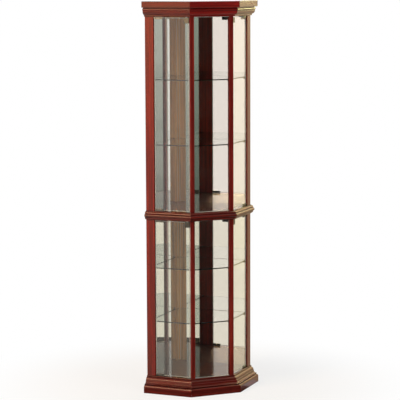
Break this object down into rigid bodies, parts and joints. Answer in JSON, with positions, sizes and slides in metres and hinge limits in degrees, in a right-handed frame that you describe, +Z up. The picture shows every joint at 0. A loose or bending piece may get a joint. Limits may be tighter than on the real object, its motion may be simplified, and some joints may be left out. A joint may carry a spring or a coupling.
{
  "type": "corner curio cabinet",
  "caption": "Tall glazed corner display cabinet with a fixed front pane, slanting side faces with upper and lower glass doors, mirror back, glass shelves, and moulded base, waist and crown.",
  "frame": {"origin": "on the floor, at the middle of the overall width and the overall depth", "axes": "+Z up; the fixed front pane faces -Y; the corner of the room is at +Y; +X is to the right of someone who faces the front pane"},
  "size_m": [0.5832, 0.4596, 1.8],
  "materials": {
    "lacquered_wood": "glossy red-brown cherry lacquer",
    "inner_wood": "satin red-brown stain",
    "hardboard": "bare brown board",
    "mirror": "silvered glass",
    "clear_glass": "clear float glass with a green edge",
    "steel": "nickel plated, satin",
    "black_plastic": "moulded, black"
  },
  "bodies": {
    "cabinet": {"base_frame": "inner_wood", "plinth_front": "lacquered_wood", "plinth_left": "lacquered_wood", "plinth_right": "lacquered_wood", "base_cap_front": "lacquered_wood", "base_cap_left": "lacquered_wood", "base_cap_right": "lacquered_wood", "floor_board": "lacquered_wood", "middle_deck": "lacquered_wood", "waist_rail_front": "lacquered_wood", "waist_rail_left": "lacquered_wood", "waist_rail_right": "lacquered_wood", "ceiling_board": "lacquered_wood", "top_frame": "inner_wood", "top_board": "lacquered_wood", "crown_front": "lacquered_wood", "crown_left": "lacquered_wood", "crown_right": "lacquered_wood", "front_post_left": "lacquered_wood", "front_post_right": "lacquered_wood", "side_stile_left": "lacquered_wood", "side_stile_right": "lacquered_wood", "corner_board_left": "inner_wood", "corner_board_right": "inner_wood", "back_panel_left": "hardboard", "back_panel_right": "hardboard", "mirror_lower_left": "mirror", "mirror_lower_right": "mirror", "mirror_upper_left": "mirror", "mirror_upper_right": "mirror", "front_glass_lower": "clear_glass", "front_glass_upper": "clear_glass", "shelf_lower_1": "clear_glass", "shelf_lower_2": "clear_glass", "shelf_upper_1": "clear_glass", "shelf_upper_2": "clear_glass", "latch_body_lower_left": "black_plastic", "latch_body_lower_right": "black_plastic", "latch_body_upper_left": "black_plastic", "latch_body_upper_right": "black_plastic"},
    "door_lower_left": {"door_glass_lower_left": "clear_glass", "pivot_clip_lower_left_bottom": "steel", "pivot_clip_lower_left_top": "steel", "strike_plate_lower_left": "steel"},
    "door_lower_right": {"door_glass_lower_right": "clear_glass", "pivot_clip_lower_right_bottom": "steel", "pivot_clip_lower_right_top": "steel", "strike_plate_lower_right": "steel"},
    "door_upper_left": {"door_glass_upper_left": "clear_glass", "pivot_clip_upper_left_bottom": "steel", "pivot_clip_upper_left_top": "steel", "strike_plate_upper_left": "steel"},
    "door_upper_right": {"door_glass_upper_right": "clear_glass", "pivot_clip_upper_right_bottom": "steel", "pivot_clip_upper_right_top": "steel", "strike_plate_upper_right": "steel"},
    "plunger_lower_left": {"latch_plunger_lower_left": "steel"},
    "plunger_lower_right": {"latch_plunger_lower_right": "steel"},
    "plunger_upper_left": {"latch_plunger_upper_left": "steel"},
    "plunger_upper_right": {"latch_plunger_upper_right": "steel"}
  },
  "joints": [
    {"name": "door_lower_left_hinge", "type": "hinge", "parent": "cabinet", "child": "door_lower_left", "pos_m": [-0.21589, -0.06815, 0.441], "axis": [0, 0, -1], "range_deg": [0, 95]},
    {"name": "door_lower_right_hinge", "type": "hinge", "parent": "cabinet", "child": "door_lower_right", "pos_m": [0.21589, -0.06815, 0.441], "axis": [0, 0, 1], "range_deg": [0, 95]},
    {"name": "door_upper_left_hinge", "type": "hinge", "parent": "cabinet", "child": "door_upper_left", "pos_m": [-0.21589, -0.06815, 1.2885], "axis": [0, 0, -1], "range_deg": [0, 95]},
    {"name": "door_upper_right_hinge", "type": "hinge", "parent": "cabinet", "child": "door_upper_right", "pos_m": [0.21589, -0.06815, 1.2885], "axis": [0, 0, 1], "range_deg": [0, 95]},
    {"name": "plunger_lower_left_press", "type": "slide", "parent": "cabinet", "child": "plunger_lower_left", "axis": [0.7071, 0.7071, 0], "range_m": [0, 0.003], "stiffness_N_per_m": 300},
    {"name": "plunger_lower_right_press", "type": "slide", "parent": "cabinet", "child": "plunger_lower_right", "axis": [-0.7071, 0.7071, 0], "range_m": [0, 0.003], "stiffness_N_per_m": 300},
    {"name": "plunger_upper_left_press", "type": "slide", "parent": "cabinet", "child": "plunger_upper_left", "axis": [0.7071, 0.7071, 0], "range_m": [0, 0.003], "stiffness_N_per_m": 300},
    {"name": "plunger_upper_right_press", "type": "slide", "parent": "cabinet", "child": "plunger_upper_right", "axis": [-0.7071, 0.7071, 0], "range_m": [0, 0.003], "stiffness_N_per_m": 300}
  ]
}
